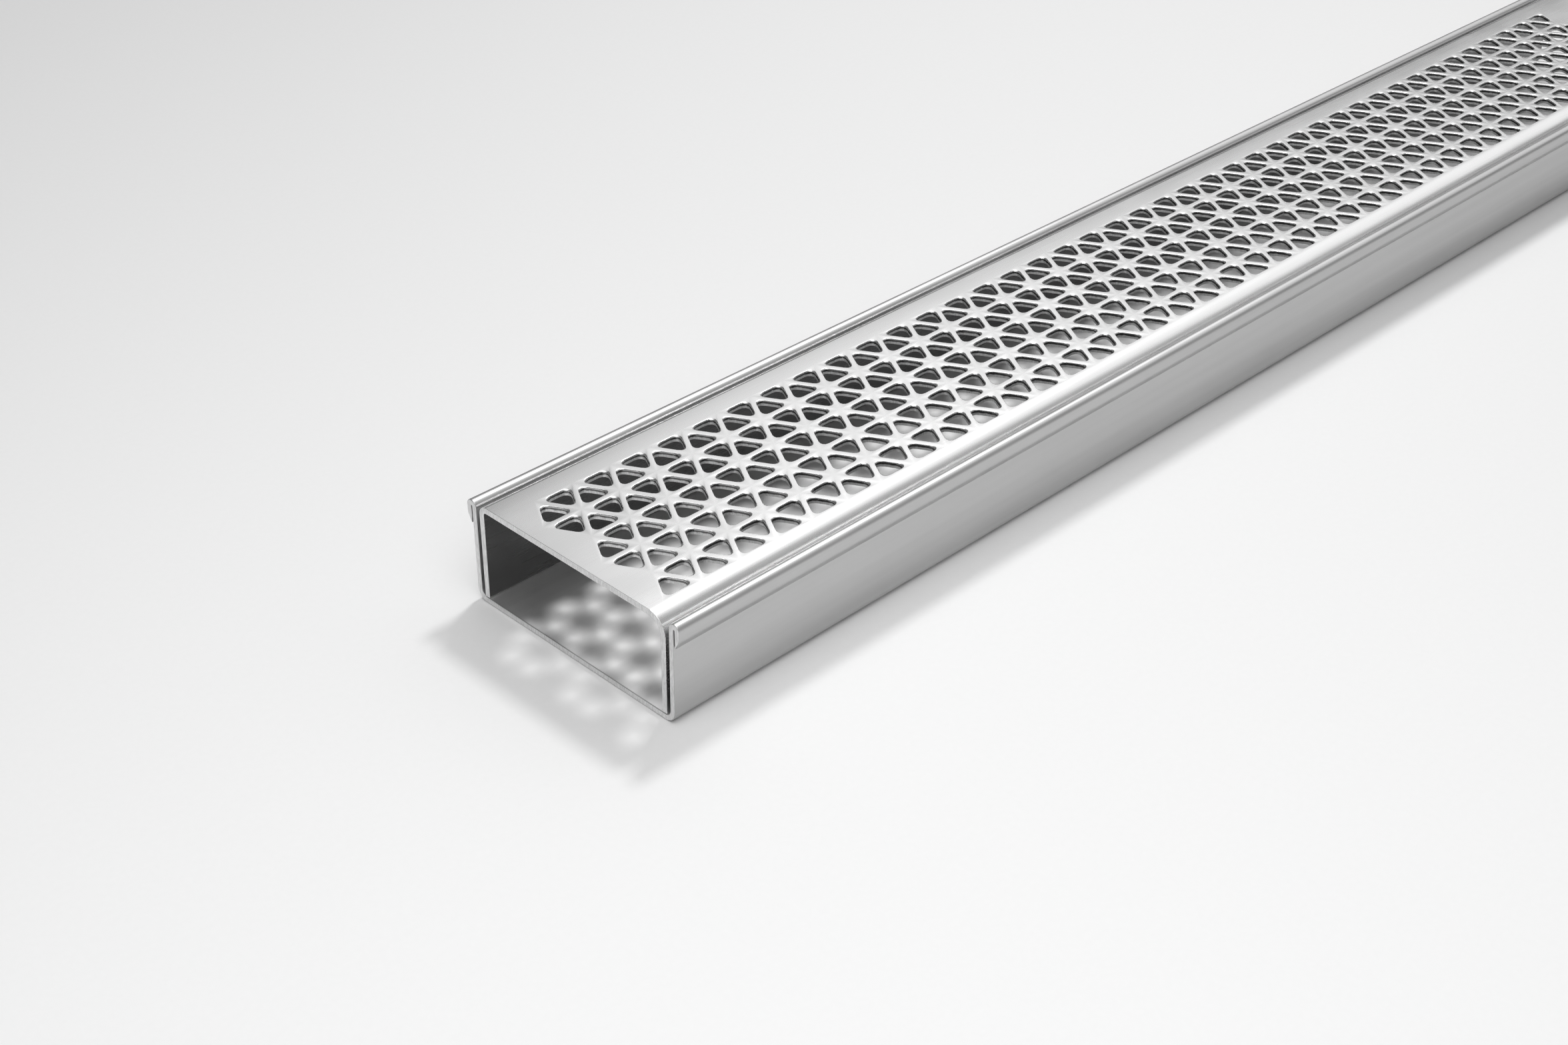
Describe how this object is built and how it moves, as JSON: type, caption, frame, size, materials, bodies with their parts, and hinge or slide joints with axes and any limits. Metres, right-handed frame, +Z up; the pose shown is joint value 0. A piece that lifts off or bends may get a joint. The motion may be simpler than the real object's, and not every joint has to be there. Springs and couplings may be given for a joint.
{
  "type": "channel drain",
  "caption": "Slimline floor drain: a folded steel tray with hemmed edges holds a lift-out grate perforated with alternating rounded triangles.",
  "frame": {"origin": "middle of the tray's underside, which rests on the floor", "axes": "+X along the drain, away from the cut end that shows, +Y across it towards the back, +Z up"},
  "size_m": [0.47, 0.0684, 0.026],
  "materials": {
    "tray_steel": "stainless steel sheet, fine brushing along the length",
    "grate_steel": "satin stainless steel sheet with bright punched edges"
  },
  "bodies": {
    "root": {"tray": "tray_steel", "grate": "grate_steel"}
  },
  "joints": []
}
